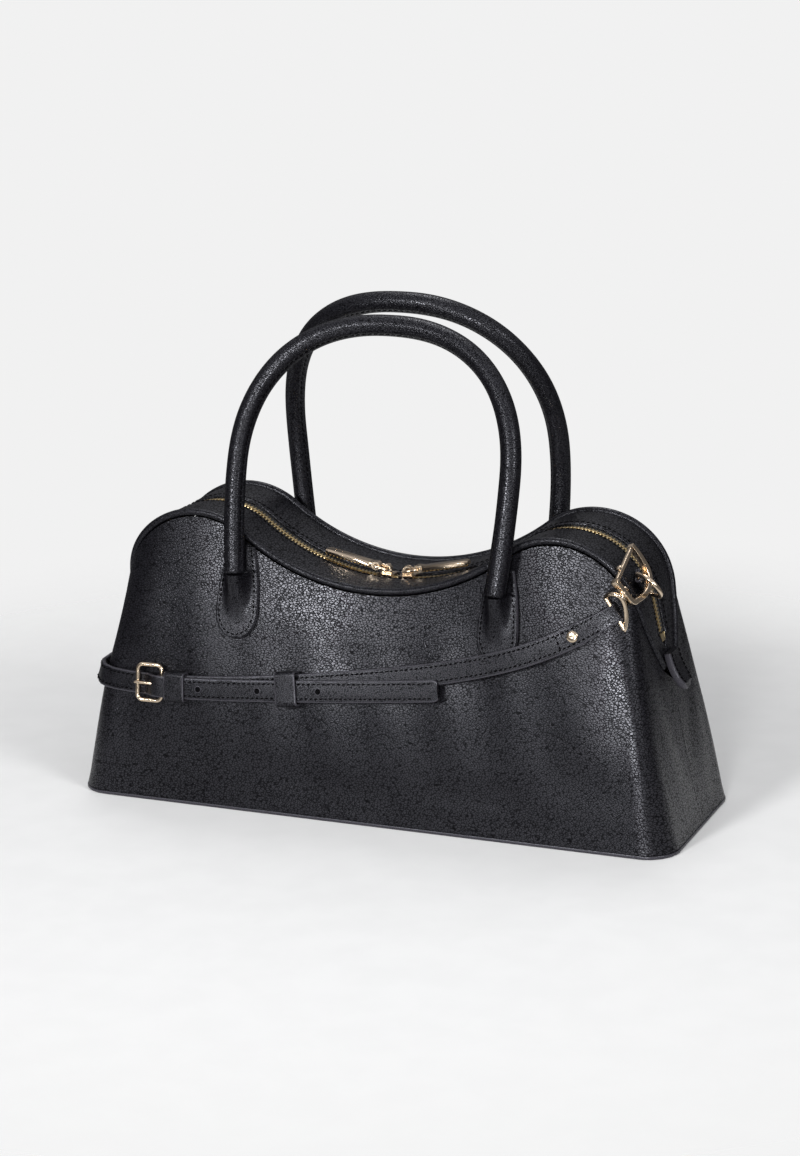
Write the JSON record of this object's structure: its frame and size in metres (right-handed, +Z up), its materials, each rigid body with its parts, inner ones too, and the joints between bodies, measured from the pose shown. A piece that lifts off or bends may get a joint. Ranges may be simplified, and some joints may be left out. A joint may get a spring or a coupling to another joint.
{
  "type": "satchel",
  "caption": "Soft zipped satchel with double sliders, two rolled handles, and a strap with swivel snap hooks and a buckle across the front.",
  "frame": {"origin": "middle of the base's underside", "axes": "+X along the bag to the right seen from the front, +Z up, the front with the buckled strap faces -Y"},
  "size_m": [0.35, 0.1247, 0.2811],
  "materials": {
    "leather": "pebbled, semi-gloss",
    "metal": "polished, pale gold",
    "tape": "woven",
    "lining": "woven",
    "board": "matt fibreboard"
  },
  "bodies": {
    "bag": {"back_gusset": "leather", "back_panel": "leather", "back_patch_left": "leather", "back_patch_right": "leather", "back_piping": "leather", "base_board": "board", "base_panel": "leather", "front_gusset": "leather", "front_panel": "leather", "front_patch_left": "leather", "front_patch_right": "leather", "front_piping": "leather", "hole_strap": "leather", "hook_eye_left": "metal", "hook_eye_right": "metal", "hook_strap": "leather", "keeper_fixed": "leather", "lining": "lining", "ring_tab_left": "leather", "ring_tab_right": "leather", "strap_rivet": "metal", "zip_stop_left": "metal", "zip_stop_right": "metal", "zip_tab_left": "leather", "zip_tab_right": "leather", "zip_tape_back": "tape", "zip_tape_front": "tape", "zip_teeth_back": "metal", "zip_teeth_front": "metal"},
    "back_handle_body": {"back_handle": "leather"},
    "buckle_frame_body": {"buckle_frame": "metal"},
    "buckle_prong_body": {"buckle_prong": "metal"},
    "d_ring_left_body": {"d_ring_left": "metal"},
    "d_ring_right_body": {"d_ring_right": "metal"},
    "front_handle_body": {"front_handle": "leather"},
    "hook_gate_left_body": {"hook_gate_left": "metal"},
    "hook_gate_right_body": {"hook_gate_right": "metal"},
    "hook_left_body": {"hook_left": "metal"},
    "hook_right_body": {"hook_right": "metal"},
    "keeper_loose_body": {"keeper_loose": "leather"},
    "pull_left_body": {"pull_left": "metal"},
    "pull_right_body": {"pull_right": "metal"},
    "pull_ring_left_body": {"pull_ring_left": "metal"},
    "pull_ring_right_body": {"pull_ring_right": "metal"},
    "slider_left_body": {"slider_left": "metal"},
    "slider_right_body": {"slider_right": "metal"}
  },
  "joints": [
    {"name": "slider_right_run", "type": "hinge", "parent": "bag", "child": "slider_right_body", "pos_m": [0, 0, 0.24959], "axis": [0, -1, 0], "range_deg": [0, 29]},
    {"name": "pull_ring_right_swing", "type": "hinge", "parent": "slider_right_body", "child": "pull_ring_right_body", "pos_m": [0.00605, 0, 0.12905], "axis": [0, -1, 0], "range_deg": [0, 40]},
    {"name": "pull_right_swing", "type": "hinge", "parent": "pull_ring_right_body", "child": "pull_right_body", "pos_m": [0.01212, 0, 0.13033], "axis": [0, -1, 0], "range_deg": [0, 45]},
    {"name": "d_ring_right_rock", "type": "hinge", "parent": "bag", "child": "d_ring_right_body", "pos_m": [0.14734, -0.01979, 0.1388], "axis": [0.4061, 0.4321, -0.8052], "range_deg": [-4, 4]},
    {"name": "hook_right_swivel", "type": "hinge", "parent": "bag", "child": "hook_right_body", "pos_m": [0.14487, -0.04466, 0.14023], "axis": [0.0384, 0.8656, 0.4993], "range_deg": [-4, 0]},
    {"name": "hook_gate_right_swing", "type": "hinge", "parent": "hook_right_body", "child": "hook_gate_right_body", "pos_m": [0.14162, -0.04755, 0.1461], "axis": [-0.8939, 0.2531, -0.3701], "range_deg": [0, 25], "stiffness_Nm_per_rad": 0.004, "springref_deg": -11.46},
    {"name": "slider_left_run", "type": "hinge", "parent": "bag", "child": "slider_left_body", "pos_m": [0, 0, 0.24959], "axis": [0, 1, 0], "range_deg": [0, 29]},
    {"name": "pull_ring_left_swing", "type": "hinge", "parent": "slider_left_body", "child": "pull_ring_left_body", "pos_m": [-0.00605, 0, 0.12905], "axis": [0, 1, 0], "range_deg": [0, 40]},
    {"name": "pull_left_swing", "type": "hinge", "parent": "pull_ring_left_body", "child": "pull_left_body", "pos_m": [-0.01212, 0, 0.13033], "axis": [0, 1, 0], "range_deg": [0, 45]},
    {"name": "d_ring_left_rock", "type": "hinge", "parent": "bag", "child": "d_ring_left_body", "pos_m": [-0.15434, 0.01129, 0.11356], "axis": [-0.1875, -0.4321, -0.8821], "range_deg": [-4, 4]},
    {"name": "hook_left_swivel", "type": "hinge", "parent": "bag", "child": "hook_left_body", "pos_m": [-0.15239, 0.03673, 0.1155], "axis": [-0.1883, -0.8656, 0.464], "range_deg": [-4, 0]},
    {"name": "hook_gate_left_swing", "type": "hinge", "parent": "hook_left_body", "child": "hook_gate_left_body", "pos_m": [-0.15108, 0.03963, 0.12208], "axis": [0.964, -0.2531, -0.0809], "range_deg": [0, 25], "stiffness_Nm_per_rad": 0.004, "springref_deg": -11.46},
    {"name": "front_handle_swing", "type": "hinge", "parent": "bag", "child": "front_handle_body", "pos_m": [0, -0.0541, 0.1325], "axis": [1, 0, 0], "range_deg": [0, 165]},
    {"name": "back_handle_swing", "type": "hinge", "parent": "bag", "child": "back_handle_body", "pos_m": [0, 0.0541, 0.1325], "axis": [-1, 0, 0], "range_deg": [0, 165]},
    {"name": "buckle_frame_swing", "type": "hinge", "parent": "bag", "child": "buckle_frame_body", "pos_m": [-0.11805, -0.05871, 0.069], "axis": [0.0058, 0.118, 0.993], "range_deg": [0, 4]},
    {"name": "buckle_prong_swing", "type": "hinge", "parent": "buckle_frame_body", "child": "buckle_prong_body", "pos_m": [-0.11805, -0.05871, 0.069], "axis": [0.0058, 0.118, 0.993], "range_deg": [0, 4]},
    {"name": "keeper_loose_slide", "type": "slide", "parent": "bag", "child": "keeper_loose_body", "axis": [0.99, 0.065, 0.1252], "range_m": [-0.006, 0.006]}
  ]
}
